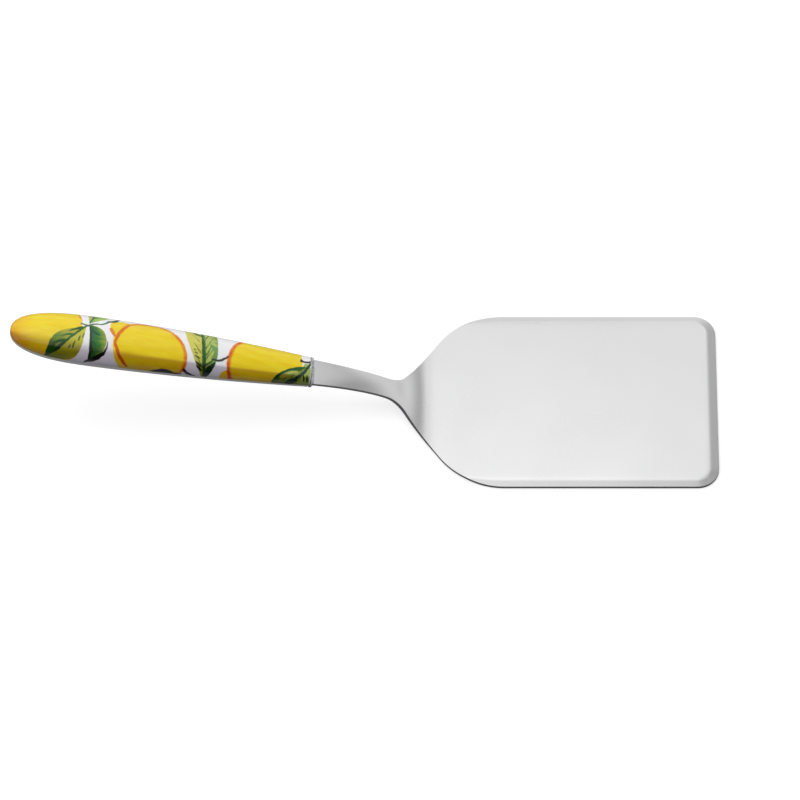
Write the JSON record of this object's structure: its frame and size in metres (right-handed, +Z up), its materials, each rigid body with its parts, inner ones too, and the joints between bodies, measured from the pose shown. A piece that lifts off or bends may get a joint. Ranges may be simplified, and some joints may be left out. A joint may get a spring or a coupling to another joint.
{
  "type": "lasagna server",
  "caption": "Lasagna server: a broad flat steel blade with a turned-down rim and an offset neck, set in a hollow glazed porcelain handle.",
  "frame": {"origin": "on the plane that the blade's turned-down rim stands on, halfway along the whole length and on the middle plane", "axes": "+X along the tool towards the blade's front edge, +Y across the blade, +Z up out of the serving face"},
  "size_m": [0.2968, 0.083, 0.0639],
  "materials": {
    "steel": "fine satin, stamped sheet",
    "porcelain": "clear gloss glaze over a printed lemon and leaf pattern on white porcelain",
    "cement": "dull, hidden inside the handle",
    "sealant": "white resin bead, slightly glossy"
  },
  "bodies": {
    "root": {"blade": "steel", "handle_shell": "porcelain", "cement_fill": "cement", "sealing_bead": "sealant"}
  },
  "joints": []
}
